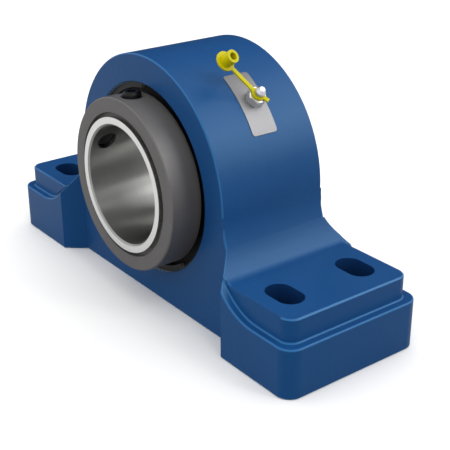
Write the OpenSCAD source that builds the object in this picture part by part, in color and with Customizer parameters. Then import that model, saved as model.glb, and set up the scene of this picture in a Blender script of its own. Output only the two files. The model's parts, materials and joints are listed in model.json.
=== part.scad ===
// Pillow block roller bearing with a set screw collar, for a 101.6 mm shaft.
// Millimetres. +Z up, the shaft runs along Y, and the collar faces -Y.
// The origin is the middle of the base's underside.

/* [Housing] */
// Height of the shaft's centre above the base
shaft_h = 107.95; // [104:0.05:114]
// Length of the base along X
foot_len = 412; // [400:1:430]
// Width of each foot block along Y
foot_w = 137; // [132:1:150]
// Corner radius of each foot block, seen from above
foot_corner_r = 13; // [6:0.5:16]
// Height of the ledge round each foot
ledge_h = 42.5; // [36:0.5:48]
// Radius of the hollow in which the ledge rises beside each pad
ledge_sweep_r = 50; // [44:0.5:60]
// How much nearer to the arch that hollow ends than the arch's own sweep
ledge_sweep_inset = 8.2; // [0:0.1:12]
// Height of the pad that the bolt heads sit on
pad_h = 62.7; // [56:0.1:68]
// Width of the pad along Y
pad_w = 123.6; // [116:0.1:128]
// Distance from the pad's end to the foot's end
pad_setback = 7.5; // [4:0.5:12]
// Corner radius of the pad, seen from above
pad_corner_r = 10.5; // [5:0.5:14]
// Radius of the hollow where the pad meets the arch
pad_root_r = 8.7; // [4:0.1:12]
// Bevel along the pad's top edge
pad_edge = 1.2; // [0.5:0.1:2]
// Width of the arch along Y
arch_w = 102; // [98:1:108]
// Outer radius of the arch
arch_r = 105.8; // [102:0.2:112]
// Bevel along the arch's two edges
arch_edge = 1; // [0.5:0.1:2]
// Distance from the middle to the sharp corner of each foot block
step_x = 125.6; // [120:0.2:132]
// Length along X of the slanted face between arch and foot block
step_run = 15.3; // [10:0.1:20]

/* [Bolt slots] */
// Spacing of the slots along X
slot_spacing_x = 327; // [315:1:336]
// Spacing of the slots along Y
slot_spacing_y = 72.7; // [66:0.1:80]
// Width of each slot
slot_w = 23; // [18:0.5:26]
// Length of each slot from end to end
slot_len = 35.2; // [28:0.2:40]

/* [Housing bore] */
// Radius of the opening on the collar side
opening_r = 81.6; // [80:0.1:84]
// Radius of the lip that the outer ring stands against
lip_r = 79.2; // [78.5:0.1:80]
// Bevel at both mouths of the bore
mouth_edge = 1.5; // [0.5:0.1:2.5]
// Radial depth of each retaining ring groove
groove_depth = 2.6; // [1.5:0.1:3.5]

/* [Bearing] */
// Diameter of the shaft bore
shaft_d = 101.6; // [99:0.1:103]
// Outside diameter of the outer ring
outer_d = 180; // [178:1:184]
// Width of the outer ring
outer_w = 46; // [44:1:50]
// Radius of the outer ring's ball-shaped raceway
raceway_r = 82; // [81:0.1:83]
// Number of rollers in each row
roller_count = 16; // [12:1:16]
// Largest diameter of a roller
roller_d = 22; // [20:0.1:22]
// Length of a roller
roller_len = 17.5; // [15:0.1:18]
// Radius of a roller's barrel profile
roller_profile_r = 79; // [70:1:80]
// Angle between each row's contact line and the radial direction
contact_angle = 10.5; // [9.5:0.1:11.5]
// Width of the grease groove round the outer ring
grease_groove_w = 14; // [6:0.5:16]
// Depth of the grease groove
grease_groove_depth = 2; // [1:0.1:3]
// Diameter of each grease hole in the outer ring
grease_hole_d = 5; // [3:0.5:6]

/* [Inner ring] */
// Wall of the inner ring's extension
ring_wall = 7; // [6.6:0.1:7.2]
// Distance from the middle to the ring's end on the collar side
ring_front = 77.5; // [76:0.5:82]
// Distance from the middle to the ring's other end
ring_back = 47; // [44:0.5:50]
// Bevel at both ends of the shaft bore
bore_edge = 1.4; // [0.5:0.1:2]
// Radius of the land under the guide ring
land_r = 60.8; // [60.4:0.1:61.2]

/* [Cages and guide ring] */
// Clearance round a roller in its pocket
pocket_gap = 0.3; // [0.2:0.05:0.5]
// Depth of the cage's bars, measured radially
cage_bar = 6.5; // [4:0.1:7]
// Thickness of the cage's side ring
cage_side = 3.4; // [2.5:0.1:4]
// Outer radius of the cage's side ring
cage_outer_r = 74.5; // [72:0.1:75]
// Outer radius of the guide ring
guide_outer_r = 71; // [68:0.1:72]

/* [Locking collar] */
// Outside diameter of the collar
collar_d = 148; // [142:1:150]
// Width of the collar along the shaft
collar_w = 29; // [26:0.5:29]
// How far the inner ring stands out of the collar
ring_proud = 1.5; // [0.5:0.1:3]
// Radial width of the recess between collar and ring
recess_w = 3.8; // [2:0.1:5]
// Depth of that recess
recess_depth = 5; // [3:0.5:8]
// Bevel round the collar's two outer edges
collar_edge = 1; // [0.5:0.1:2]
// Diameter of the set screws
screw_d = 16; // [12:0.5:16]
// How far a set screw stands out of the collar
screw_proud = 4.3; // [0:0.1:5]
// Bevel round a set screw's tip
tip_bevel = 2; // [1:0.1:3]
// Distance from the bore's wall to a set screw's tip
screw_tip_gap = 2; // [1:0.1:4]
// Width across flats of the screws' hexagon sockets
socket_flats = 8; // [6:0.5:9]
// Depth of the hexagon sockets
socket_depth = 9; // [6:0.5:12]
// Angle of the first set screw, from +X up towards +Z
screw_angle = 91; // [80:1:100]
// Angle between the two set screws
screw_spread = 61; // [45:1:120]
// Distance from the collar's front face to the screws' centre
screw_inset = 14.6; // [12:0.1:15]

/* [Seals] */
// Width of each seal
seal_w = 9.6; // [8:0.1:10]
// Wall of each seal's sheet
seal_wall = 2.2; // [1.5:0.1:3]
// Room between a seal's lip and the inner ring
lip_gap = 1.3; // [1.2:0.1:1.6]
// Thickness of the seals' retaining rings
seal_clip_w = 3; // [2:0.1:3.5]
// How far a seal's retaining ring stands into the bore
seal_clip_proud = 4.6; // [3:0.1:5]
// Depth of the front retaining ring's outer face in the opening
seal_clip_inset = 2.5; // [1.5:0.1:4]
// Angle where the open front retaining ring starts
seal_clip_start = 94; // [85:1:100]
// Angle that the open front retaining ring covers
seal_clip_sweep = 211; // [190:1:260]
// Width of the retaining ring beside the outer ring
bearing_clip_w = 3; // [2:0.1:4]
// How far the bearing's retaining ring stands into the bore
bearing_clip_proud = 6; // [4:0.1:8]

/* [Label plate] */
// Angle of the label plate's middle, from +X up towards +Z
plate_angle = 45.5; // [40:0.1:60]
// Place of the label plate's middle along Y
plate_y = 2.5; // [0:0.1:4]
// Length of the label plate, measured straight across
plate_len = 56; // [48:1:60]
// Width of the label plate
plate_w = 24.4; // [20:0.1:26]
// Thickness of the label plate
plate_t = 0.5; // [0.4:0.1:1]
// Corner radius of the label plate
plate_corner_r = 2.5; // [1:0.1:4]

/* [Grease nipple] */
// Angle of the nipple's axis, from +X up towards +Z
nipple_angle = 46.1; // [40:0.1:60]
// Place of the nipple along Y
nipple_y = 5; // [0:0.1:5.5]
// Width across flats of the hexagon
hex_flats = 14; // [12:0.5:17]
// Height of the hexagon
hex_h = 7; // [5:0.1:9]
// Turn of the hexagon about the nipple's axis
hex_turn = 30; // [0:1:60]
// Radius of the threaded stub in the housing
stub_r = 4.95; // [4:0.05:6]
// Length of the threaded stub
stub_len = 9; // [7:0.5:10]
// Radius of the neck above the hexagon
neck_r = 3.2; // [2.5:0.1:3.6]
// Height of the neck
neck_h = 2.4; // [2.2:0.1:4]
// Radius of the nipple's head
head_r = 4.4; // [4:0.1:5]
// Height of the head above the neck
head_h = 6; // [5:0.1:7]
// Radius of the ball in the mouth
ball_r = 1.5; // [1.2:0.05:1.6]
// Distance from the head's top to the ball's centre
ball_inset = 1.1; // [1:0.05:1.2]
// Length of the spring under the ball
spring_len = 7; // [5:0.5:9]

/* [Nipple cap] */
// Distance from the nipple's axis to the cap's axis
strap_len = 37.3; // [30:0.1:42]
// Direction of the strap, turned about the nipple from straight uphill
strap_turn = 35.2; // [-30:0.1:60]
// Rise of the strap beyond the ring, as an angle from the ring's plane
strap_rise = 14.7; // [0:0.1:20]
// Width of the strap
strap_w = 3.4; // [2:0.1:4]
// Thickness of strap, ring and flange
strap_t = 1.6; // [1:0.1:2]
// Radius of the ring round the neck
cap_ring_r = 5.6; // [5:0.1:6.5]
// Radius of the cap's flange
flange_r = 8.1; // [7:0.1:9]
// Outer radius of the cap's cup
cup_r = 5.4; // [4.8:0.1:6]
// Radius of the cup's mouth
cup_bore_r = 3.1; // [3:0.1:4.2]
// Height of the cup from the flange's underside
cup_h = 11; // [8:0.1:13]
// Length of the tail beyond the nipple's axis
tail_len = 9.6; // [9:0.1:14]

/* [Hidden] */
$fn = 96;

// Running clearance of a sliding or rolling fit
fit = 0.05;
// Overlap of a cut beyond the face that it starts from
over = 1;
// Clearance round the outer ring in its seat
seat_fit = 0.02;
// Room round a set screw in the inner ring's hole
screw_hole_room = 1;
// Room round the nipple's stub in the label plate
plate_hole_room = 0.2;
// Room above the strap's ring and below it
strap_gap = 0.3;
// Room between the rollers' ends and the guide ring, at the rollers' middle plane
guide_gap = 0.25;
// Room round the nipple's ball
ball_room = 0.1;
// Room under the spring for the ball's travel
spring_room = 0.9;

// Housing, worked out from the sizes above
sweep_r = shaft_h - ledge_h;
sweep_x = arch_r + sweep_r;
ledge_sweep_x = sweep_x - ledge_sweep_inset;
outline_h = shaft_h + arch_r;
pad_end = foot_len / 2 - pad_setback;
pad_flat_x = sweep_x - sqrt(pow(sweep_r - pad_root_r, 2) - pow(sweep_r + ledge_h - pad_h - pad_root_r, 2));
pad_meet = sweep_r / (sweep_r - pad_root_r);
pad_meet_z = shaft_h - (shaft_h - pad_h - pad_root_r) * pad_meet;
step_inner_x = step_x - step_run;

// Places along Y inside the housing bore
seat_r = outer_d / 2 + seat_fit;
front_y = -arch_w / 2;
back_y = arch_w / 2;
lip_front_y = front_y + seal_clip_inset + seal_clip_w + seal_w + 2 * fit;
bearing_clip_y = outer_w / 2 + fit;

// Rolling pieces, in the plane through the shaft's axis
roller_r = roller_d / 2;
roller_run_r = roller_r - fit;
roller_reach = raceway_r - roller_r;
roller_axis_r = roller_reach * cos(contact_angle);
roller_axis_y = roller_reach * sin(contact_angle);
inner_contact = raceway_r - roller_d;
inner_arc_r = raceway_r;
inner_arc_reach = inner_contact + inner_arc_r;
roller_inner_end_r = roller_axis_r + roller_len / 2 * sin(contact_angle);
roller_inner_end_y = roller_axis_y - roller_len / 2 * cos(contact_angle);
roller_outer_end_y = roller_axis_y + roller_len / 2 * cos(contact_angle);

// Inner ring and collar
shaft_r = shaft_d / 2;
ring_r = shaft_r + ring_wall;
collar_r = collar_d / 2;
collar_front_y = -ring_front + ring_proud;
collar_back_y = collar_front_y + collar_w;
screw_y = collar_front_y + screw_inset;
screw_r = screw_d / 2;
screw_tip_r = shaft_r + screw_tip_gap;
screw_top_r = collar_r + screw_proud;

// Nipple and cap, as heights above the arch
nipple_seat = plate_t + 2 * fit;
neck_base = nipple_seat + hex_h;
head_base = neck_base + neck_h;
ball_h = head_base + head_h - ball_inset;
strap_base = neck_base + strap_gap;
stub_base = nipple_seat - stub_len;

// Turns a shape made round the Z axis so that it lies round the shaft's axis.
// Its own +Z then points to -Y.
module on_shaft() {
    translate([0, 0, shaft_h])
        rotate([90, 0, 0])
            children();
}

// Revolves an outline drawn as [radius, place along Y] round the shaft's axis
module revolve_on_shaft() {
    on_shaft()
        rotate_extrude()
            mirror([0, 1])
                children();
}

// A bore or disc on the shaft's axis between two places along Y
module shaft_disc(radius, y_from, y_to) {
    translate([0, y_to, shaft_h])
        rotate([90, 0, 0])
            cylinder(r = radius, h = y_to - y_from);
}

// A cone on the shaft's axis between two places along Y
module shaft_cone(r_from, r_to, y_from, y_to) {
    translate([0, y_to, shaft_h])
        rotate([90, 0, 0])
            cylinder(r1 = r_to, r2 = r_from, h = y_to - y_from);
}

// Puts a shape made round the Z axis on a radius of the shaft's axis, +Z outwards
module on_radius(angle, y) {
    translate([0, y, shaft_h])
        rotate([0, 90 - angle, 0])
            children();
}

// A rectangle with round corners, centred
module round_rect(size, radius) {
    square([size[0] - 2 * radius, size[1]], center = true);
    square([size[0], size[1] - 2 * radius], center = true);
    for (x = [-1, 1], y = [-1, 1])
        translate([x * (size[0] / 2 - radius), y * (size[1] / 2 - radius)])
            circle(r = radius);
}

// Elevation of the casting: arch, hollow sweeps and foot blocks up to the ledge
module housing_elevation() {
    difference() {
        union() {
            translate([-foot_len / 2, 0])
                square([foot_len, ledge_h]);
            translate([-sweep_x, 0])
                square([2 * sweep_x, shaft_h]);
        }
        for (side = [-1, 1])
            translate([side * sweep_x, shaft_h])
                circle(r = sweep_r);
    }
    translate([0, shaft_h])
        circle(r = arch_r);
}

// Elevation of the casting beside the pads, where the ledge rises in a tighter hollow
module ledge_elevation() {
    difference() {
        housing_elevation();
        for (side = [-1, 1])
            translate([side * ledge_sweep_x, ledge_h + ledge_sweep_r])
                circle(r = ledge_sweep_r);
        for (side = [0, 1])
            mirror([side, 0])
                translate([ledge_sweep_x, ledge_h])
                    square([foot_len / 2, outline_h]);
    }
}

// Plan of the casting: two foot blocks with round corners, joined by the narrower arch
module housing_plan() {
    intersection() {
        round_rect([foot_len, foot_w], foot_corner_r);
        union() {
            square([2 * step_inner_x, arch_w], center = true);
            for (side = [0, 180])
                rotate(side)
                    polygon([
                        [step_inner_x, -arch_w / 2],
                        [step_x, -foot_w / 2],
                        [foot_len / 2, -foot_w / 2],
                        [foot_len / 2, foot_w / 2],
                        [step_x, foot_w / 2],
                        [step_inner_x, arch_w / 2],
                        [0, arch_w / 2],
                        [0, -arch_w / 2]
                    ]);
        }
    }
}

// Elevation of the round hollow where one pad meets the sweep
module pad_root() {
    hollow = [
        for (i = [0:8])
            let (a = 270 - i / 8 * acos((shaft_h - pad_h - pad_root_r) / (sweep_r - pad_root_r)))
                [pad_flat_x + pad_root_r * cos(a), pad_h + pad_root_r * (1 + sin(a))]
    ];
    polygon(concat([[arch_r, ledge_h], [pad_flat_x, ledge_h]], hollow, [[arch_r, pad_meet_z]]));
}

// One pad, at the +X end, with a bevel along its top edges
module pad() {
    edge_h = pad_h - pad_edge;
    side_y = pad_w / 2;
    corner_y = side_y - pad_corner_r;
    corner_x = pad_end - pad_corner_r;
    translate([arch_r, -side_y, 0])
        cube([corner_x - arch_r, pad_w, edge_h]);
    translate([arch_r, -corner_y, 0])
        cube([pad_end - arch_r, 2 * corner_y, edge_h]);
    translate([arch_r, 0, edge_h])
        rotate([90, 0, 90])
            linear_extrude(corner_x - arch_r)
                polygon([
                    [-side_y, 0],
                    [side_y, 0],
                    [side_y - pad_edge, pad_edge],
                    [pad_edge - side_y, pad_edge]
                ]);
    translate([0, corner_y, edge_h])
        rotate([90, 0, 0])
            linear_extrude(2 * corner_y)
                polygon([[arch_r, 0], [pad_end, 0], [pad_end - pad_edge, pad_edge], [arch_r, pad_edge]]);
    for (side = [-1, 1])
        translate([corner_x, side * corner_y, 0]) {
            cylinder(r = pad_corner_r, h = edge_h);
            translate([0, 0, edge_h])
                cylinder(r1 = pad_corner_r, r2 = pad_corner_r - pad_edge, h = pad_edge);
        }
    translate([0, side_y - pad_edge, 0])
        rotate([90, 0, 0])
            linear_extrude(pad_w - 2 * pad_edge)
                pad_root();
}

// Cutter for the bevel along one edge of the arch, at the -Y face
module arch_bevel() {
    intersection() {
        on_shaft()
            translate([0, 0, -front_y - arch_edge])
                difference() {
                    cylinder(r = arch_r + over, h = arch_edge + over);
                    cylinder(r1 = arch_r, r2 = arch_r - arch_edge - over, h = arch_edge + over);
                }
        translate([-foot_len / 2, -foot_w, shaft_h])
            cube([foot_len, foot_w, outline_h]);
    }
}

module bolt_slot() {
    for (side = [-1, 1])
        translate([side * (slot_len - slot_w) / 2, 0, -over])
            cylinder(d = slot_w, h = pad_h + 2 * over);
    translate([-(slot_len - slot_w) / 2, -slot_w / 2, -over])
        cube([slot_len - slot_w, slot_w, pad_h + 2 * over]);
}

// Everything that is machined out of the casting on the shaft's axis
module housing_bore() {
    shaft_disc(opening_r, front_y - over, lip_front_y);
    shaft_disc(lip_r, front_y, back_y);
    shaft_disc(seat_r, -outer_w / 2, back_y + over);
    shaft_cone(opening_r + mouth_edge + over, opening_r, front_y - over, front_y + mouth_edge);
    shaft_cone(seat_r, seat_r + mouth_edge + over, back_y - mouth_edge, back_y + over);
    shaft_disc(
        opening_r + groove_depth,
        front_y + seal_clip_inset - fit,
        front_y + seal_clip_inset + seal_clip_w + fit
    );
    shaft_disc(seat_r + groove_depth, bearing_clip_y - fit, bearing_clip_y + bearing_clip_w + fit);
    shaft_disc(
        seat_r + groove_depth,
        back_y - seal_clip_inset - seal_clip_w - fit,
        back_y - seal_clip_inset + fit
    );
}

module housing() {
    color("#24508f")
        difference() {
            intersection() {
                linear_extrude(outline_h)
                    housing_plan();
                union() {
                    translate([0, foot_w / 2, 0])
                        rotate([90, 0, 0])
                            linear_extrude(foot_w)
                                ledge_elevation();
                    translate([0, pad_w / 2, 0])
                        rotate([90, 0, 0])
                            linear_extrude(pad_w)
                                housing_elevation();
                    pad();
                    mirror([1, 0, 0])
                        pad();
                }
            }
            housing_bore();
            arch_bevel();
            mirror([0, 1, 0])
                arch_bevel();
            for (x = [-1, 1], y = [-1, 1])
                translate([x * slot_spacing_x / 2, y * slot_spacing_y / 2, 0])
                    bolt_slot();
            on_radius(nipple_angle, nipple_y) {
                translate([0, 0, arch_r + stub_base - fit])
                    cylinder(r = stub_r + fit, h = stub_len + over);
                translate([0, 0, seat_r - over])
                    cylinder(d = grease_hole_d, h = arch_r - seat_r);
            }
        }
}

module outer_ring() {
    color("#b9bcc0")
        difference() {
            shaft_disc(outer_d / 2, -outer_w / 2, outer_w / 2);
            translate([0, 0, shaft_h])
                rotate([90, 0, 0])
                    sphere(r = raceway_r);
            difference() {
                shaft_disc(outer_d / 2 + over, -grease_groove_w / 2, grease_groove_w / 2);
                shaft_disc(outer_d / 2 - grease_groove_depth, -outer_w, outer_w);
            }
            for (i = [0:2])
                on_radius(nipple_angle + i * 120, 0)
                    translate([0, 0, raceway_r - over])
                        cylinder(d = grease_hole_d, h = outer_d / 2);
        }
}

// Section of the inner ring, as [radius, place along Y]
module inner_ring_section() {
    difference() {
        translate([shaft_r, -ring_front])
            square([land_r - shaft_r, ring_front + ring_back]);
        // extensions on both sides of the raceways
        translate([ring_r, -ring_front - over])
            square([2 * ring_wall, ring_front + over - roller_outer_end_y]);
        translate([ring_r, roller_outer_end_y])
            square([2 * ring_wall, ring_back + over]);
        for (side = [-1, 1])
            translate([inner_arc_reach * cos(contact_angle), side * inner_arc_reach * sin(contact_angle)])
                circle(r = inner_arc_r, $fn = 240);
    }
}

module inner_ring() {
    color("#d9dadb")
        difference() {
            revolve_on_shaft()
                inner_ring_section();
            shaft_cone(shaft_r + bore_edge + over, shaft_r, -ring_front - over, -ring_front + bore_edge);
            shaft_cone(shaft_r, shaft_r + bore_edge + over, ring_back - bore_edge, ring_back + over);
            for (i = [0, 1])
                on_radius(screw_angle + i * screw_spread, screw_y)
                    translate([0, 0, shaft_r / 2])
                        cylinder(r = screw_r + screw_hole_room, h = collar_r);
        }
}

module guide_ring() {
    slope = tan(contact_angle);
    half_base = roller_inner_end_y - guide_gap - (roller_inner_end_r - land_r - fit) * slope;
    half_rim = roller_inner_end_y - guide_gap - (roller_inner_end_r - guide_outer_r) * slope;
    color("#9a9da1")
        revolve_on_shaft()
            polygon([
                [land_r + fit, -half_base],
                [guide_outer_r, -half_rim],
                [guide_outer_r, half_rim],
                [land_r + fit, half_base]
            ]);
}

// Puts a roller, made round the Z axis, in its place in the row on the side of +Y (1) or -Y (-1)
module in_row(side, index) {
    turn = (index - 1 + (1 + side) / 4) * 360 / roller_count;
    translate([0, 0, shaft_h])
        rotate([0, -turn, 0])
            translate([roller_axis_r, side * roller_axis_y, 0])
                rotate([0, 0, side * contact_angle])
                    rotate([-90, 0, 0])
                        children();
}

module roller(side, index) {
    color("#c9ccd0")
        in_row(side, index)
            rotate_extrude()
                intersection() {
                    translate([0, -roller_len / 2])
                        square([roller_r, roller_len]);
                    translate([roller_run_r - roller_profile_r, 0])
                        circle(r = roller_profile_r, $fn = 240);
                }
}

// Cage of one row: a side ring with bars that reach between the rollers
module cage(side) {
    slope = tan(contact_angle);
    row_gap = 0.6;
    ring_gap = 1;
    bar_rise = 1.6;
    inner_flange = 1;
    bar_from = roller_inner_end_y + row_gap;
    bar_to = roller_outer_end_y + ring_gap;
    bar_top = roller_axis_r + bar_rise;
    bar_drop = (bar_to - bar_from) * slope;
    color("#b5893a")
        difference() {
            mirror([0, side < 0 ? 1 : 0, 0])
                revolve_on_shaft()
                    polygon([
                        [bar_top - cage_bar, bar_from],
                        [bar_top, bar_from],
                        [bar_top - bar_drop, bar_to],
                        [cage_outer_r, bar_to],
                        [cage_outer_r, bar_to + cage_side],
                        [bar_top - cage_bar - bar_drop - inner_flange, bar_to + cage_side],
                        [bar_top - cage_bar - bar_drop - inner_flange, bar_to],
                        [bar_top - cage_bar - bar_drop, bar_to]
                    ]);
            for (i = [1:roller_count])
                in_row(side, i)
                    translate([0, 0, -roller_len / 2 - pocket_gap - (side > 0 ? over : 0)])
                        cylinder(r = roller_r + pocket_gap, h = roller_len + 2 * pocket_gap + over);
        }
}

module locking_collar() {
    mouth_h = 3;
    mouth_sink = 1;
    color("#5f5d5f")
        difference() {
            shaft_disc(collar_r, collar_front_y, collar_back_y);
            shaft_disc(ring_r + fit, collar_front_y - over, collar_back_y + over);
            shaft_disc(ring_r + recess_w, collar_front_y - over, collar_front_y + recess_depth);
            for (back = [0, 1])
                translate([0, back * (collar_front_y + collar_back_y), 0])
                    mirror([0, back, 0])
                        difference() {
                            shaft_disc(collar_r + over, collar_front_y - over, collar_front_y + collar_edge);
                            shaft_cone(
                                collar_r - collar_edge - over,
                                collar_r,
                                collar_front_y - over,
                                collar_front_y + collar_edge
                            );
                        }
            for (i = [0, 1])
                on_radius(screw_angle + i * screw_spread, screw_y) {
                    translate([0, 0, shaft_r])
                        cylinder(r = screw_r + fit, h = collar_r);
                    translate([0, 0, sqrt(pow(collar_r, 2) - pow(screw_r, 2)) - mouth_sink])
                        cylinder(r1 = screw_r, r2 = screw_r + mouth_h, h = mouth_h);
                }
        }
}

module collar_set_screws() {
    color("#1d1d1f")
        for (i = [0, 1])
            on_radius(screw_angle + i * screw_spread, screw_y)
                difference() {
                    union() {
                        translate([0, 0, screw_tip_r])
                            cylinder(r1 = screw_r - tip_bevel, r2 = screw_r, h = tip_bevel);
                        translate([0, 0, screw_tip_r + tip_bevel])
                            cylinder(r = screw_r, h = screw_top_r - screw_tip_r - 2 * tip_bevel);
                        translate([0, 0, screw_top_r - tip_bevel])
                            cylinder(r1 = screw_r, r2 = screw_r - tip_bevel, h = tip_bevel);
                    }
                    translate([0, 0, screw_top_r - socket_depth])
                        cylinder(d = socket_flats / cos(30), h = socket_depth + over, $fn = 6);
                }
}

// Seal that lies between a sleeve radius and a bore radius, its open side to -Y
module seal(bore_radius, y_from) {
    color("#18181a")
        revolve_on_shaft()
            polygon([
                [bore_radius - fit, y_from],
                [bore_radius - fit, y_from + seal_w],
                [ring_r + lip_gap, y_from + seal_w],
                [ring_r + lip_gap, y_from + seal_w / 2],
                [ring_r + lip_gap + seal_wall, y_from + seal_w / 2],
                [ring_r + lip_gap + seal_wall, y_from + seal_w - seal_wall],
                [bore_radius - fit - seal_wall, y_from + seal_w - seal_wall],
                [bore_radius - fit - seal_wall, y_from]
            ]);
}

module front_seal() {
    seal(opening_r, front_y + seal_clip_inset + seal_clip_w + fit);
}

module back_seal() {
    mirror([0, 1, 0])
        seal(seat_r, -back_y + seal_clip_inset + seal_clip_w + fit);
}

module front_seal_clip() {
    clip_y = front_y + seal_clip_inset;
    color("#202022")
        translate([0, clip_y + seal_clip_w, shaft_h])
            rotate([90, 0, 0])
                rotate([0, 0, seal_clip_start])
                    rotate_extrude(angle = seal_clip_sweep)
                        translate([opening_r - seal_clip_proud, 0])
                            square([seal_clip_proud + groove_depth - fit, seal_clip_w]);
}

// Retaining ring with a gap at the bottom, for a groove in the seat
module seat_clip(y_from, width, proud) {
    gap_w = 12;
    color("#202022")
        difference() {
            shaft_disc(seat_r + groove_depth - fit, y_from, y_from + width);
            shaft_disc(seat_r - proud, y_from - over, y_from + width + over);
            translate([-gap_w / 2, y_from - over, 0])
                cube([gap_w, width + 2 * over, shaft_h]);
        }
}

module bearing_clip() {
    seat_clip(bearing_clip_y, bearing_clip_w, bearing_clip_proud);
}

module back_seal_clip() {
    seat_clip(back_y - seal_clip_inset - seal_clip_w, seal_clip_w, seal_clip_proud);
}

module label_plate() {
    color("#b9b9ba")
        difference() {
            intersection() {
                difference() {
                    shaft_disc(arch_r + fit + plate_t, plate_y - plate_w, plate_y + plate_w);
                    shaft_disc(arch_r + fit, plate_y - plate_w - over, plate_y + plate_w + over);
                }
                on_radius(plate_angle, plate_y)
                    linear_extrude(arch_r + plate_w)
                        round_rect([plate_len, plate_w], plate_corner_r);
            }
            on_radius(nipple_angle, nipple_y)
                cylinder(r = stub_r + plate_hole_room, h = arch_r + plate_w);
        }
}

// Puts a shape on the nipple's axis, with height zero at the arch's surface and +X uphill
module on_nipple() {
    on_radius(nipple_angle, nipple_y)
        translate([0, 0, arch_r])
            rotate([0, 0, 180])
                children();
}

module grease_nipple() {
    channel_r = ball_r + ball_room;
    mouth_r = ball_r - 2 * ball_room;
    rim_w = 0.8;
    flare_h = head_h * 0.2;
    band_h = head_h * 0.3;
    dome_h = head_h - flare_h - band_h;
    seat_h = ball_h + 2 * ball_room;
    head_top = head_base + head_h;
    color("#c8c9cc")
        on_nipple()
            difference() {
                union() {
                    translate([0, 0, stub_base])
                        cylinder(r = stub_r, h = stub_len + over);
                    intersection() {
                        translate([0, 0, nipple_seat])
                            rotate([0, 0, hex_turn])
                                cylinder(d = hex_flats / cos(30), h = hex_h, $fn = 6);
                        translate([0, 0, nipple_seat])
                            cylinder(r1 = hex_flats, r2 = hex_flats / 2, h = hex_h);
                    }
                    translate([0, 0, neck_base - over])
                        cylinder(r = neck_r, h = neck_h + over);
                    translate([0, 0, head_base])
                        cylinder(r1 = neck_r, r2 = head_r, h = flare_h);
                    translate([0, 0, head_base + flare_h])
                        cylinder(r = head_r, h = band_h);
                    translate([0, 0, head_top - dome_h])
                        cylinder(r1 = head_r, r2 = mouth_r + rim_w, h = dome_h);
                }
                translate([0, 0, ball_h - ball_r - spring_len - spring_room])
                    cylinder(r = channel_r, h = seat_h - ball_h + ball_r + spring_len + spring_room);
                translate([0, 0, seat_h])
                    cylinder(r1 = channel_r, r2 = mouth_r, h = head_top - seat_h);
                translate([0, 0, head_top - fit])
                    cylinder(r = mouth_r, h = over);
                translate([0, 0, stub_base - over])
                    cylinder(r = ball_r / 2, h = stub_len + hex_h);
            }
}

module nipple_ball() {
    color("#e2e3e4")
        on_nipple()
            translate([0, 0, ball_h])
                sphere(r = ball_r);
}

// Helical spring swept as one tube under the ball
module nipple_spring() {
    turns = 6;
    per_turn = 12;
    wire_r = 0.22;
    coil_inset = 0.35;
    coil_r = ball_r - coil_inset;
    sides = 6;
    steps = turns * per_turn;
    rings = [
        for (i = [0:steps], k = [0:sides - 1])
            let (a = i * 360 / per_turn, b = k * 360 / sides)
                [
                    (coil_r + wire_r * cos(b)) * cos(a),
                    (coil_r + wire_r * cos(b)) * sin(a),
                    wire_r + i / steps * (spring_len - 2 * wire_r) + wire_r * sin(b)
                ]
    ];
    walls = [
        for (i = [0:steps - 1], k = [0:sides - 1])
            let (m = (k + 1) % sides)
                [i * sides + k, (i + 1) * sides + k, (i + 1) * sides + m, i * sides + m]
    ];
    first = [for (k = [0:sides - 1]) k];
    last = [for (k = [sides - 1:-1:0]) steps * sides + k];
    color("#a9abae")
        on_nipple()
            translate([0, 0, ball_h - ball_r - spring_len])
                polyhedron(points = rings, faces = concat(walls, [first, last]), convexity = 6);
}

// Puts a shape at the ring's edge, turned up by the rise of the strap
module risen_strap() {
    translate([cap_ring_r, 0, 0])
        rotate([0, -strap_rise, 0])
            children();
}

module nipple_cap() {
    cup_along = strap_len - cap_ring_r;
    color("#e6dc1e")
        on_nipple()
            translate([0, 0, strap_base])
                rotate([0, 0, strap_turn])
                    difference() {
                        union() {
                            cylinder(r = cap_ring_r, h = strap_t);
                            translate([-tail_len, -strap_w / 2, 0])
                                cube([tail_len + cap_ring_r, strap_w, strap_t]);
                            risen_strap() {
                                translate([0, -strap_w / 2, 0])
                                    cube([cup_along, strap_w, strap_t]);
                                translate([cup_along, 0, 0])
                                    cylinder(r = flange_r, h = strap_t);
                                translate([cup_along, 0, 0])
                                    cylinder(r = cup_r, h = cup_h);
                            }
                        }
                        translate([0, 0, -over])
                            cylinder(r = neck_r + fit, h = strap_t + 2 * over);
                        risen_strap()
                            translate([cup_along, 0, strap_t])
                                cylinder(r = cup_bore_r, h = cup_h);
                    }
}

housing();
outer_ring();
inner_ring();
guide_ring();
cage(-1);  // front_cage
cage(1);  // back_cage
locking_collar();
collar_set_screws();
front_seal();
back_seal();
front_seal_clip();
back_seal_clip();
bearing_clip();
label_plate();
grease_nipple();
nipple_ball();
nipple_spring();
nipple_cap();
for (i = [1:roller_count])
    roller(-1, i);
for (i = [1:roller_count])
    roller(1, i);
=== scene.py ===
"""A pillow block bearing on a white studio floor, dressed with its paint, steel, rubber and plastic."""
import json
from math import cos, radians, sin

import bpy
from mathutils import Matrix, Vector

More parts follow.
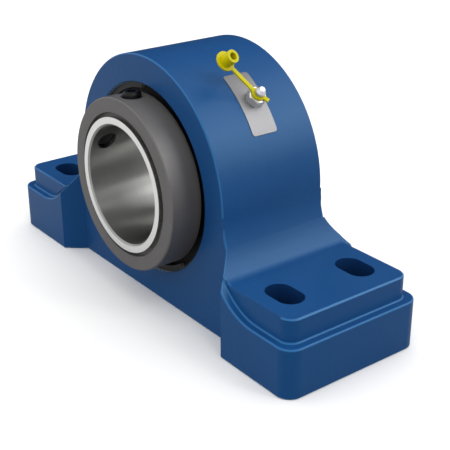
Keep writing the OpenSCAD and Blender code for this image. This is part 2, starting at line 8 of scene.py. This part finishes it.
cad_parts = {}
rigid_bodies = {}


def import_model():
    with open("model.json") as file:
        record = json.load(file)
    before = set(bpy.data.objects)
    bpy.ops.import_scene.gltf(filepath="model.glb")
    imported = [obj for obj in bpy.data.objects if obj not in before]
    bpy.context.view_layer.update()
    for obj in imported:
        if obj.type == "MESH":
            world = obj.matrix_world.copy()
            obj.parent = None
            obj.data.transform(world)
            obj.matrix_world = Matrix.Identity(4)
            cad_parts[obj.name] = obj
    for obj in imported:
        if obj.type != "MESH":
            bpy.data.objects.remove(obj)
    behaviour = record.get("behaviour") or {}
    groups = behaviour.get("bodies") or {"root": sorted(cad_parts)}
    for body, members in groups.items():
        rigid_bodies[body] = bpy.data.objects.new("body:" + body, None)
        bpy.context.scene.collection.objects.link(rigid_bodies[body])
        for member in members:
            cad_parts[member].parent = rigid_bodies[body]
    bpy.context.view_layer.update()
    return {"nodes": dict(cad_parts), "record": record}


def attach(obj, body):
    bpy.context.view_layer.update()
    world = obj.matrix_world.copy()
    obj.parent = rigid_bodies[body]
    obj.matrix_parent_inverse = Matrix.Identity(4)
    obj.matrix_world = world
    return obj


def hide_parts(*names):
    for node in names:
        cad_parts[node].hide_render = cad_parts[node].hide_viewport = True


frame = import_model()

# Sizes that the looks share with the bearing, in metres
SHAFT_HEIGHT = 0.10795
BORE_RADIUS = 0.0508
SEAT_RADIUS = 0.09002
ARCH_RADIUS = 0.1058
ARCH_HALF_WIDTH = 0.051
PAD_HEIGHT = 0.0627
PAD_HALF_WIDTH = 0.0618
# From the faces beside a bevel to the bevel's middle
ARCH_EDGE_MIDDLE = 0.0005
PAD_EDGE_MIDDLE = 0.0006

# Joining the triangles of a solid: corners nearer than this in metres, faces flatter than this in degrees
SAME_CORNER = 0.000004
SAME_FACE = 0.2

# Angles of edges, in degrees: a sharper one is rounded, on machined pieces and on the casting, and a
# blunter one than the last is shaded smooth
MACHINED_EDGE = 28
CAST_EDGE = 52
SMOOTH_SHADED = 40
# Widths of the rounded edges, in metres
CASTING_ROUND = 0.0013
COLLAR_ROUND = 0.0004
INNER_RING_ROUND = 0.0003
SCREW_ROUND = 0.0004
RETAINING_RING_ROUND = 0.0003
PLATE_ROUND = 0.00012
NIPPLE_ROUND = 0.0002
CAP_ROUND = 0.0005

# The casting's edges are rounded where they lie outside the arch's radius less the first of these, and
# under the shaft's axis by more than the second, in metres
ARCH_SKIN = 0.003
BELOW_SHAFT = 0.012
# On the far side, the line where the pad meets the sweep stays sharp: from this depth under the pad's top
# upwards, and out to this place along X
ROOT_DEPTH = 0.012
ROOT_REACH = 0.133
# Room beside a bolt slot's box along X and along Y, for its edges and for its walls
SLOT_EDGE_ROOM = (0.01, 0.003)
SLOT_WALL_ROOM = (0.008, 0.003)

# Where the finishes of a piece meet, in metres
UNDERSIDE_HEIGHT = 0.0005
BEVEL_SLACK = 0.0004
GROOVE_ROOM = 0.004
SLOT_RIM_DEPTH = 0.001
BORE_ROOM = 0.002
# The same by the direction in which a face looks, as parts of its normal
STRAIGHT_DOWN = -0.99
BEVEL_SLANT = 0.707
SLANT_SLACK = 0.03
UPRIGHT_WALL = 0.3
RING_END = 0.9
CUT_END = 0.1
# A face looks into the bore where its normal times its place from the shaft's axis is under this, in metres
LOOKS_INTO_BORE = -0.05

# The finishes of a piece by their order on it, the first being 0
CASTING_BORED = 1
# On the casting, the rounded edges and bevels carry a painted highlight
CASTING_PAINTED_HIGHLIGHT = 2
# On the casting, the walls of the bolt slots carry painted shade
CASTING_SLOT_PAINTED_SHADE = 3
RING_BORE = 1
SHEARED_END = 1

# Paint on the casting, as counts in a metre: clouds of 71 mm, cast grain of 6 mm and orange peel of
# 1.6 mm, the last two drawn coarse enough to show
CLOUDS = 14.0
CAST_GRAINS = 160.0
PEEL_BUMPS = 620.0
CAST_GRAIN_DEPTH = 0.0004
PEEL_DEPTH = 0.00012
# Flash line round the crown, in metres
FLASH_Y = -0.002
FLASH_HALF_WIDTH = 0.0006
CROWN_SLACK = 0.0004

# Metals and plastics: patches of 17 mm, as their count in a metre
PATCHES = 60.0
MM_PER_METRE = 1000
# How far marks and grain carry the roughness to either side
SMOOTHER = 0.05
ROUGHER_BY_MARKS = 0.07
ROUGHER_BY_GRAIN = 0.05

# The studio, in metres: the point that lamps and flags face, the floor's side and its depth under the base
AIM_POINT = Vector((0, 0, 0.1))
FLOOR_SIZE = 12
FLOOR_DROP = 0.0002
# Share of the white paper in what gloss shows of the floor, and the room's strength as light and as seen
PAPER_IN_GLOSS = 0.45
ROOM_LIGHT = 1.3
ROOM_SEEN = 1.0
CAMERA_TARGET = Vector((0.01142, 0.02322, 0.04818))
CAMERA_DISTANCE = 0.89098
CAMERA_AZIMUTH = radians(52.725)
CAMERA_ELEVATION = radians(24.49)
CAMERA_ROLL = radians(-0.211)
# Lens and film width, in millimetres
CAMERA_LENS = 78.99
FILM_WIDTH = 36


# Small helpers


def linear(hex_colour):
    """An sRGB hex colour as linear red, green, blue and alpha."""
    parts = [int(hex_colour[i : i + 2], 16) / 255 for i in (1, 3, 5)]
    return [p / 12.92 if p <= 0.04045 else ((p + 0.055) / 1.055) ** 2.4 for p in parts] + [1.0]


def add_node(tree, kind, inputs=None, **settings):
    """One shader node with its settings. An input is a value, or the output of another node."""
    made = tree.nodes.new(kind)
    for name, value in settings.items():
        setattr(made, name, value)
    for name, value in (inputs or {}).items():
        if isinstance(value, bpy.types.NodeSocket):
            tree.links.new(value, made.inputs[name])
        else:
            made.inputs[name].default_value = value
    return made


def new_material(name):
    """An empty material: its node tree and the socket that takes the finished surface."""
    material = bpy.data.materials.new(name)
    material.use_nodes = True
    tree = material.node_tree
    tree.nodes.clear()
    output = add_node(tree, "ShaderNodeOutputMaterial")
    return material, tree, output.inputs["Surface"]


def object_place(tree):
    """The place on the piece, in metres."""
    return add_node(tree, "ShaderNodeTexCoord").outputs["Object"]


def shaft_place(tree):
    """The place as radius from the shaft's axis and distance along it, so that a pattern runs round
    the shaft like lathe marks."""
    centred = add_node(
        tree,
        "ShaderNodeVectorMath",
        {0: object_place(tree), 1: (0, 0, -SHAFT_HEIGHT)},
        operation="ADD",
    )
    flat = add_node(tree, "ShaderNodeVectorMath", {0: centred.outputs[0], 1: (1, 0, 1)}, operation="MULTIPLY")
    radius = add_node(tree, "ShaderNodeVectorMath", {0: flat.outputs[0]}, operation="LENGTH")
    along = add_node(tree, "ShaderNodeSeparateXYZ", {0: centred.outputs[0]})
    both = add_node(
        tree,
        "ShaderNodeCombineXYZ",
        {"X": radius.outputs["Value"], "Y": along.outputs["Y"]},
    )
    return both.outputs[0]


def from_shaft(place):
    """The way to a place from the nearest point of the shaft's axis."""
    return Vector((place.x, 0, place.z - SHAFT_HEIGHT))


def select_only(piece):
    """Selects one piece and makes it the active one."""
    bpy.ops.object.select_all(action="DESELECT")
    piece.select_set(True)
    bpy.context.view_layer.objects.active = piece


def joined_copy(node_name, piece_name):
    """A copy of a CAD node whose loose triangles are joined into one clean surface."""
    select_only(frame["nodes"][node_name])
    bpy.ops.object.duplicate()
    piece = bpy.context.view_layer.objects.active
    piece.name = piece_name
    bpy.ops.object.parent_clear(type="CLEAR_KEEP_TRANSFORM")
    bpy.ops.mesh.customdata_custom_splitnormals_clear()
    bpy.ops.object.mode_set(mode="EDIT")
    bpy.ops.mesh.select_all(action="SELECT")
    bpy.ops.mesh.remove_doubles(threshold=SAME_CORNER)
    bpy.ops.mesh.dissolve_limited(angle_limit=radians(SAME_FACE))
    bpy.ops.object.mode_set(mode="OBJECT")
    return piece


def mark_edges(piece, sharper_than, wanted):
    """Marks the sharp edges whose middle is wanted, so that only these are rounded."""
    normals = {}
    for face in piece.data.polygons:
        for key in face.edge_keys:
            normals.setdefault(key, []).append(face.normal.copy())
    marks = piece.data.attributes.new("bevel_weight_edge", "FLOAT", "EDGE")
    corners = piece.data.vertices
    for edge in piece.data.edges:
        pair = normals.get(edge.key, [])
        middle = (corners[edge.vertices[0]].co + corners[edge.vertices[1]].co) / 2
        if len(pair) == 2 and pair[0].angle(pair[1], 0) > radians(sharper_than) and wanted(middle):
            marks.data[edge.index].value = 1.0


def round_edges(piece, width, segments=3, finish=None):
    """Rounds the edges that the casting or the machining leaves soft: all the sharp ones, or only the
    marked ones where the rounded strips have a finish of their own."""
    rounding = piece.modifiers.new("rounding", "BEVEL")
    rounding.width = width
    rounding.segments = segments
    rounding.limit_method = "ANGLE" if finish is None else "WEIGHT"
    rounding.angle_limit = radians(MACHINED_EDGE)
    rounding.use_clamp_overlap = finish is None
    rounding.material = -1 if finish is None else finish
    rounding.harden_normals = False
    select_only(piece)
    bpy.ops.object.modifier_apply(modifier=rounding.name)
    bpy.ops.object.shade_smooth_by_angle(angle=radians(SMOOTH_SHADED))
    evening = piece.modifiers.new("evening", "WEIGHTED_NORMAL")
    evening.keep_sharp = True
    bpy.ops.object.modifier_apply(modifier=evening.name)


def dress(piece, *materials):
    """Gives a piece its finishes, in this order."""
    piece.data.materials.clear()
    for material in materials:
        piece.data.materials.append(material)


# Finishes


def blue_enamel(name, deep, pale):
    """Two-pack enamel sprayed on a sand casting: satin gloss, a soft orange peel over the grain of the
    casting, and a faint flash line round the crown where the mould halves met."""
    material, tree, surface = new_material(name)
    place = object_place(tree)
    cloud = add_node(tree, "ShaderNodeTexNoise", {"Vector": place, "Scale": CLOUDS, "Detail": 3.0})
    colour = add_node(
        tree,
        "ShaderNodeMix",
        {0: cloud.outputs["Fac"], 6: linear(deep), 7: linear(pale)},
        data_type="RGBA",
    )
    sheen = add_node(
        tree,
        "ShaderNodeMapRange",
        {"Value": cloud.outputs["Fac"], "To Min": 0.31, "To Max": 0.39},
    )
    grain = add_node(
        tree,
        "ShaderNodeTexNoise",
        {"Vector": place, "Scale": CAST_GRAINS, "Detail": 4.0, "Roughness": 0.55},
    )
    peel = add_node(tree, "ShaderNodeTexNoise", {"Vector": place, "Scale": PEEL_BUMPS, "Detail": 2.0})
    casting_relief = add_node(
        tree,
        "ShaderNodeBump",
        {"Strength": 0.35, "Distance": CAST_GRAIN_DEPTH, "Height": grain.outputs["Fac"]},
    )
    paint_relief = add_node(
        tree,
        "ShaderNodeBump",
        {
            "Strength": 0.25,
            "Distance": PEEL_DEPTH,
            "Height": peel.outputs["Fac"],
            "Normal": casting_relief.outputs["Normal"],
        },
    )
    along = add_node(tree, "ShaderNodeSeparateXYZ", {0: shaft_place(tree)})
    flash = add_node(
        tree,
        "ShaderNodeMath",
        {0: along.outputs["Y"], 1: FLASH_Y, 2: FLASH_HALF_WIDTH},
        operation="COMPARE",
    )
    on_crown = add_node(
        tree,
        "ShaderNodeMath",
        {0: along.outputs["X"], 1: ARCH_RADIUS, 2: CROWN_SLACK},
        operation="COMPARE",
    )
    line = add_node(
        tree,
        "ShaderNodeMath",
        {0: flash.outputs[0], 1: on_crown.outputs[0]},
        operation="MULTIPLY",
    )
    parted = add_node(
        tree,
        "ShaderNodeMix",
        {0: line.outputs[0], 6: colour.outputs[2], 7: linear("#154278")},
        data_type="RGBA",
    )
    paint = add_node(
        tree,
        "ShaderNodeBsdfPrincipled",
        {
            "Base Color": parted.outputs[2],
            "Roughness": sheen.outputs[0],
            "IOR": 1.5,
            "Specular IOR Level": 0.2,
            "Specular Tint": linear("#c8f4ff"),
            "Normal": paint_relief.outputs["Normal"],
        },
    )
    tree.links.new(paint.outputs[0], surface)
    return material


def lathe_metal(name, light, dark, roughness, metallic, mark_mm, depth_mm, stretch=0.0):
    """Metal turned or ground on the shaft's axis: fine marks run round it, and break up its shine."""
    material, tree, surface = new_material(name)
    place = shaft_place(tree)
    marks = add_node(
        tree,
        "ShaderNodeTexNoise",
        {"Vector": place, "Scale": MM_PER_METRE / mark_mm, "Detail": 2.0, "Roughness": 0.6},
    )
    patches = add_node(
        tree,
        "ShaderNodeTexNoise",
        {"Vector": object_place(tree), "Scale": PATCHES, "Detail": 3.0},
    )
    blend = add_node(
        tree,
        "ShaderNodeMath",
        {0: marks.outputs["Fac"], 1: patches.outputs["Fac"]},
        operation="MULTIPLY",
    )
    colour = add_node(
        tree,
        "ShaderNodeMix",
        {0: blend.outputs[0], 6: linear(light), 7: linear(dark)},
        data_type="RGBA",
    )
    polish = add_node(
        tree,
        "ShaderNodeMapRange",
        {
            "Value": marks.outputs["Fac"],
            "To Min": roughness - SMOOTHER,
            "To Max": roughness + ROUGHER_BY_MARKS,
        },
    )
    relief = add_node(
        tree,
        "ShaderNodeBump",
        {"Strength": 0.3, "Distance": depth_mm / MM_PER_METRE, "Height": marks.outputs["Fac"]},
    )
    round_about = add_node(tree, "ShaderNodeTangent", direction_type="RADIAL", axis="Y")
    metal = add_node(
        tree,
        "ShaderNodeBsdfPrincipled",
        {
            "Base Color": colour.outputs[2],
            "Metallic": metallic,
            "Roughness": polish.outputs[0],
            "Anisotropic": stretch,
            "Anisotropic Rotation": 0.25,
            "Tangent": round_about.outputs[0],
            "Normal": relief.outputs["Normal"],
        },
    )
    tree.links.new(metal.outputs[0], surface)
    return material


def grainy_finish(name, light, dark, grain_mm, roughness, relief_mm, metallic=0.0, shine=0.5):
    """A finish with an even grain in all directions: plating, black oxide, sheet metal, rubber, plastic
    or cloth."""
    material, tree, surface = new_material(name)
    grain = add_node(
        tree,
        "ShaderNodeTexNoise",
        {"Vector": object_place(tree), "Scale": MM_PER_METRE / grain_mm, "Detail": 3.0},
    )
    colour = add_node(
        tree,
        "ShaderNodeMix",
        {0: grain.outputs["Fac"], 6: linear(light), 7: linear(dark)},
        data_type="RGBA",
    )
    polish = add_node(
        tree,
        "ShaderNodeMapRange",
        {
            "Value": grain.outputs["Fac"],
            "To Min": roughness - SMOOTHER,
            "To Max": roughness + ROUGHER_BY_GRAIN,
        },
    )
    relief = add_node(
        tree,
        "ShaderNodeBump",
        {"Strength": 0.3, "Distance": relief_mm / MM_PER_METRE, "Height": grain.outputs["Fac"]},
    )
    finish = add_node(
        tree,
        "ShaderNodeBsdfPrincipled",
        {
            "Base Color": colour.outputs[2],
            "Metallic": metallic,
            "Roughness": polish.outputs[0],
            "Specular IOR Level": shine,
            "Normal": relief.outputs["Normal"],
        },
    )
    tree.links.new(finish.outputs[0], surface)
    return material


enamel = blue_enamel("blue_enamel_on_cast_iron", "#114175", "#17497e")
# The same enamel painted paler over the rounded edges and bevels, as a painted highlight along them
edge_enamel_painted_highlight = blue_enamel("blue_enamel_painted_edge_highlight", "#255a90", "#2d649a")
# The same enamel darkened on the walls inside the bolt slots, as painted shade in these recesses
slot_enamel_painted_shade = blue_enamel("blue_enamel_painted_shade_in_slots", "#0f2d58", "#123461")
# Cast iron bored and faced bright: grey, with a pearly lathe grain
bored_iron = lathe_metal(
    "bored_cast_iron", "#8d9094", "#6f7276", roughness=0.42, metallic=0.9, mark_mm=0.5, depth_mm=0.02
)
# Through-hardened bearing steel, ground: bright, with marks too fine to see, drawn coarser
ground_steel = lathe_metal(
    "ground_bearing_steel", "#f8f8f6", "#e4e4e2", roughness=0.24, metallic=1.0, mark_mm=0.6, depth_mm=0.006
)
# The same steel honed inside the bore, with a shine stretched along the bore; its greyer colour is partly
# painted shade for the inside of the bore
honed_steel_painted_shade = lathe_metal(
    "honed_bearing_steel_painted_shade",
    "#a8a8a6",
    "#8c8c8a",
    roughness=0.3,
    metallic=1.0,
    mark_mm=0.6,
    depth_mm=0.004,
    stretch=0.9,
)
# Steel turned and then phosphated: dark grey, matt, with the lathe marks still just there
phosphated_steel = lathe_metal(
    "phosphated_turned_steel", "#6d6b6b", "#5a5858", roughness=0.52, metallic=0.5, mark_mm=0.7, depth_mm=0.02
)
# Alloy steel with black oxide and oil: near black with a soft shine
black_oxide = grainy_finish(
    "black_oxide_alloy_steel",
    "#232224",
    "#151416",
    grain_mm=0.8,
    roughness=0.38,
    relief_mm=0.01,
    metallic=0.7,
)
# Nitrile rubber, moulded: deep black, matt
nitrile = grainy_finish(
    "moulded_nitrile_rubber", "#1b1b1c", "#121213", grain_mm=0.9, roughness=0.62, relief_mm=0.02
)
# Spring steel, phosphated and oiled: black, half matt
spring_steel = grainy_finish(
    "phosphated_spring_steel", "#131314", "#0c0c0d", grain_mm=0.7, roughness=0.5, relief_mm=0.01, metallic=0.3
)
# Sheared steel, bare and bright
sheared_steel = grainy_finish(
    "sheared_bright_steel", "#d8d6d2", "#a9a7a3", grain_mm=0.5, roughness=0.35, relief_mm=0.02, metallic=1.0
)
# Aluminium sheet, rolled and matt anodised: an even, silvery grey
anodised_aluminium = grainy_finish(
    "anodised_aluminium_sheet",
    "#7f7f81",
    "#6b6b6d",
    grain_mm=0.7,
    roughness=0.46,
    relief_mm=0.006,
    metallic=0.6,
)
# Free-cutting steel, zinc plated: bright and slightly cool
zinc_plated = grainy_finish(
    "zinc_plated_steel", "#e6e7ea", "#cdcfd3", grain_mm=0.9, roughness=0.3, relief_mm=0.005, metallic=0.8
)
# Low-density polyethylene, moulded: yellow with a dull, waxy shine
polyethylene = grainy_finish(
    "moulded_yellow_polyethylene",
    "#c8be00",
    "#b7ad00",
    grain_mm=1.5,
    roughness=0.42,
    relief_mm=0.01,
    shine=0.1,
)
# Cage brass, machined all over: warm yellow with lathe marks
machined_brass = lathe_metal(
    "machined_brass", "#c9a04c", "#ab8336", roughness=0.32, metallic=1.0, mark_mm=0.5, depth_mm=0.01
)

# Housing casting

casting = joined_copy("housing", "housing_casting")
dress(casting, enamel, bored_iron, edge_enamel_painted_highlight, slot_enamel_painted_shade)
slots = [opening["box_m"] for opening in frame["record"]["physics"]["openings"]]


def in_slot(place, beside_x, beside_y):
    """Whether a place on the casting is in a bolt slot's box, or beside it by less than these widths."""
    return any(
        low[0] - beside_x < place.x < high[0] + beside_x and low[1] - beside_y < place.y < high[1] + beside_y
        for low, high in slots
    )


def open_to_view(middle):
    """Whether an edge of the casting is rounded: one outside the bore and the bolt slots, below the arch's
    own bevel, and not on the far line where the pad meets the sweep."""
    if from_shaft(middle).length < ARCH_RADIUS - ARCH_SKIN:
        return False
    at_far_side = middle.y > ARCH_HALF_WIDTH and abs(middle.x) < ROOT_REACH
    at_far_root = at_far_side and middle.z > PAD_HEIGHT - ROOT_DEPTH
    below_arch = middle.z < SHAFT_HEIGHT - BELOW_SHAFT
    return below_arch and not at_far_root and not in_slot(middle, *SLOT_EDGE_ROOM)


def casting_finish(middle, normal):
    """The finish of a face of the casting by its order, or None where it keeps the one it has."""
    if normal.z < STRAIGHT_DOWN and middle.z < UNDERSIDE_HEIGHT:
        return CASTING_BORED
    # The bevels of the arch and the pads take the painted edge highlight
    on_arch_bevel = abs(abs(middle.y) - ARCH_HALF_WIDTH + ARCH_EDGE_MIDDLE) < BEVEL_SLACK
    if abs(abs(normal.y) - BEVEL_SLANT) < SLANT_SLACK and on_arch_bevel:
        return CASTING_PAINTED_HIGHLIGHT
    under_pad_top = abs(middle.z - PAD_HEIGHT + PAD_EDGE_MIDDLE) < BEVEL_SLACK
    inside_pad_side = abs(abs(middle.y) - PAD_HALF_WIDTH + PAD_EDGE_MIDDLE) < BEVEL_SLACK
    if abs(normal.z - BEVEL_SLANT) < SLANT_SLACK and (under_pad_top or inside_pad_side):
        return CASTING_PAINTED_HIGHLIGHT
    outward = from_shaft(middle)
    if outward.length < SEAT_RADIUS + GROOVE_ROOM and outward.dot(normal) < LOOKS_INTO_BORE:
        return CASTING_BORED
    below_rim = middle.z < PAD_HEIGHT - SLOT_RIM_DEPTH
    # The walls inside the bolt slots take the painted shade
    if abs(normal.z) < UPRIGHT_WALL and in_slot(middle, *SLOT_WALL_ROOM) and below_rim:
        return CASTING_SLOT_PAINTED_SHADE
    return None


mark_edges(casting, CAST_EDGE, open_to_view)
# The rounded edge strips take the painted highlight
round_edges(casting, CASTING_ROUND, finish=CASTING_PAINTED_HIGHLIGHT)
for face in casting.data.polygons:
    own_finish = casting_finish(Vector(face.center), Vector(face.normal))
    if own_finish is not None:
        face.material_index = own_finish
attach(casting, "housing_unit")
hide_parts("housing")

# Set screw collar

collar = joined_copy("locking_collar", "set_screw_collar")
round_edges(collar, COLLAR_ROUND, segments=2)
dress(collar, phosphated_steel)
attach(collar, "shaft_ring")
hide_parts("locking_collar")

# Inner ring, ground outside and honed in its bore, the bore's darker colour partly painted shade

shaft_ring = joined_copy("inner_ring", "extended_inner_ring")
round_edges(shaft_ring, INNER_RING_ROUND, segments=2)
dress(shaft_ring, ground_steel, honed_steel_painted_shade)
for face in shaft_ring.data.polygons:
    outward = from_shaft(face.center)
    in_bore = outward.length < BORE_RADIUS + BORE_ROOM and outward.dot(face.normal) < 0
    # Faces in the bore take the darker honed steel, partly painted shade
    if in_bore and abs(face.normal.y) < RING_END:
        face.material_index = RING_BORE
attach(shaft_ring, "shaft_ring")
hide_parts("inner_ring")

# Set screws

screws = joined_copy("collar_set_screws", "socket_set_screws")
round_edges(screws, SCREW_ROUND, segments=2)
dress(screws, black_oxide)
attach(screws, "shaft_ring")
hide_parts("collar_set_screws")

# Retaining ring of the front seal, with bright sheared ends

open_ring = joined_copy("front_seal_clip", "front_retaining_ring")
round_edges(open_ring, RETAINING_RING_ROUND, segments=2)
dress(open_ring, spring_steel, sheared_steel)
for face in open_ring.data.polygons:
    outward = from_shaft(face.center).normalized()
    if abs(face.normal.y) < CUT_END and abs(outward.dot(face.normal)) < CUT_END:
        face.material_index = SHEARED_END
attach(open_ring, "housing_unit")
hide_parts("front_seal_clip")

# Label plate

plate = joined_copy("label_plate", "bare_label_plate")
round_edges(plate, PLATE_ROUND, segments=2)
dress(plate, anodised_aluminium)
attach(plate, "housing_unit")
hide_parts("label_plate")

# Grease nipple

nipple = joined_copy("grease_nipple", "hexagon_grease_nipple")
round_edges(nipple, NIPPLE_ROUND, segments=2)
dress(nipple, zinc_plated)
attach(nipple, "housing_unit")
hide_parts("grease_nipple")

# Nipple cap with its strap and ring

cap = joined_copy("nipple_cap", "moulded_nipple_cap")
round_edges(cap, CAP_ROUND, segments=3)
dress(cap, polyethylene)
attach(cap, "cap")
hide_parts("nipple_cap")

# The solids that stay as they are take their finish by name

finishes = {
    "outer_ring": ground_steel,
    "guide_ring": ground_steel,
    "front_cage": machined_brass,
    "back_cage": machined_brass,
    "front_seal": nitrile,
    "back_seal": nitrile,
    "back_seal_clip": spring_steel,
    "bearing_clip": spring_steel,
    "nipple_ball": zinc_plated,
    "nipple_spring": sheared_steel,
}
for name, solid in frame["nodes"].items():
    if "roller" in name:
        dress(solid, ground_steel)
    elif name in finishes:
        dress(solid, finishes[name])

# Studio floor, white paper to the eye and greyer to the light, so that the object's underside stays dark

bpy.ops.object.select_all(action="DESELECT")
bpy.ops.mesh.primitive_plane_add(size=FLOOR_SIZE, location=(0, 0, -FLOOR_DROP))
floor = bpy.context.view_layer.objects.active
floor.name = "studio_floor"
bpy.ops.object.transform_apply(location=True, rotation=True, scale=True)
paper, tree, surface = new_material("white_studio_paper")
seen = add_node(tree, "ShaderNodeLightPath")
dim = add_node(tree, "ShaderNodeBsdfDiffuse", {"Color": linear("#808080")})
pale = add_node(tree, "ShaderNodeBsdfDiffuse", {"Color": linear("#f4f4f4")})
mirrored = add_node(
    tree,
    "ShaderNodeMath",
    {0: seen.outputs["Is Glossy Ray"], 1: seen.outputs["Is Transmission Ray"]},
    operation="MAXIMUM",
)
to_eye = add_node(
    tree,
    "ShaderNodeMath",
    {0: mirrored.outputs[0], 1: PAPER_IN_GLOSS, 2: seen.outputs["Is Camera Ray"]},
    operation="MULTIPLY_ADD",
)
mixed = add_node(tree, "ShaderNodeMixShader", {0: to_eye.outputs[0], 1: dim.outputs[0], 2: pale.outputs[0]})
tree.links.new(mixed.outputs[0], surface)
dress(floor, paper)

# White room: it lights softly, and shows white to the eye and in the metal

room = bpy.data.worlds.new("white_room")
bpy.context.scene.world = room
room.use_nodes = True
tree = room.node_tree
tree.nodes.clear()
seen = add_node(tree, "ShaderNodeLightPath")
to_eye = add_node(
    tree,
    "ShaderNodeMath",
    {0: seen.outputs["Is Camera Ray"], 1: seen.outputs["Is Glossy Ray"]},
    operation="MAXIMUM",
)
to_eye = add_node(
    tree,
    "ShaderNodeMath",
    {0: to_eye.outputs[0], 1: seen.outputs["Is Transmission Ray"]},
    operation="MAXIMUM",
)
soft = add_node(tree, "ShaderNodeBackground", {"Color": (1, 1, 1, 1), "Strength": ROOM_LIGHT})
white = add_node(tree, "ShaderNodeBackground", {"Color": (1, 1, 1, 1), "Strength": ROOM_SEEN})
mixed = add_node(tree, "ShaderNodeMixShader", {0: to_eye.outputs[0], 1: soft.outputs[0], 2: white.outputs[0]})
output = add_node(tree, "ShaderNodeOutputWorld")
tree.links.new(mixed.outputs[0], output.inputs["Surface"])

# Lamps, with their power in watts


def softbox(name, place, size, power, shine_only=False):
    """A soft light hung at a place and turned to the object. One for shine only shows in gloss alone."""
    light = bpy.data.lights.new(name, "AREA")
    light.shape = "RECTANGLE"
    light.size, light.size_y = size
    light.energy = power
    lamp = bpy.data.objects.new(name, light)
    bpy.context.scene.collection.objects.link(lamp)
    lamp.location = place
    lamp.rotation_mode = "QUATERNION"
    lamp.rotation_quaternion = (AIM_POINT - Vector(place)).to_track_quat("-Z", "Y")
    lamp.visible_diffuse = not shine_only


softbox("right_softbox", place=(1.25, 0.1, 1.25), size=(1.0, 1.0), power=14.0)
softbox("back_strip", place=(0.72, 0.88, 1.22), size=(1.5, 0.8), power=10.0, shine_only=True)
softbox("low_back_strip", place=(1.1, 0.9, 0.85), size=(1.0, 0.8), power=8.0, shine_only=True)

# Flags, of black cotton velvet: so dark and matt that they show as a plain black shape in the shine

black_cloth = grainy_finish(
    "black_cotton_velvet", "#0c0c0d", "#060607", grain_mm=2.0, roughness=0.9, relief_mm=0.1
)


def flag(name, place, size, shades=False):
    """A black card that faces the object and darkens its shine. One that shades takes light away too."""
    bpy.ops.object.select_all(action="DESELECT")
    bpy.ops.mesh.primitive_plane_add(size=1)
    card = bpy.context.view_layer.objects.active
    card.name = name
    facing = (AIM_POINT - Vector(place)).to_track_quat("Z", "Y").to_matrix().to_4x4()
    card.data.transform(Matrix.Translation(place) @ facing @ Matrix.Diagonal((size[0], size[1], 1, 1)))
    dress(card, black_cloth)
    card.visible_camera = False
    card.visible_transmission = False
    card.visible_diffuse = shades
    card.visible_shadow = shades


flag("back_left_flag", place=(-1.51, 1.15, 0.95), size=(3.0, 2.2))
flag("right_flag", place=(0.975, 0.0, 0.295), size=(0.39, 1.56), shades=True)

# Camera

back = Vector(
    (
        sin(CAMERA_AZIMUTH) * cos(CAMERA_ELEVATION),
        -cos(CAMERA_AZIMUTH) * cos(CAMERA_ELEVATION),
        sin(CAMERA_ELEVATION),
    )
)
level_right = Vector((cos(CAMERA_AZIMUTH), sin(CAMERA_AZIMUTH), 0))
level_up = back.cross(level_right)
right = level_right * cos(CAMERA_ROLL) + level_up * sin(CAMERA_ROLL)
up = level_up * cos(CAMERA_ROLL) - level_right * sin(CAMERA_ROLL)
turned = Matrix((right, up, back)).transposed().to_4x4()
lens = bpy.data.cameras.new("studio_camera")
lens.lens = CAMERA_LENS
lens.sensor_width = FILM_WIDTH
camera = bpy.data.objects.new("studio_camera", lens)
bpy.context.scene.collection.objects.link(camera)
camera.matrix_world = Matrix.Translation(CAMERA_TARGET + back * CAMERA_DISTANCE) @ turned
bpy.context.scene.camera = camera
bpy.context.scene.view_settings.view_transform = "Standard"
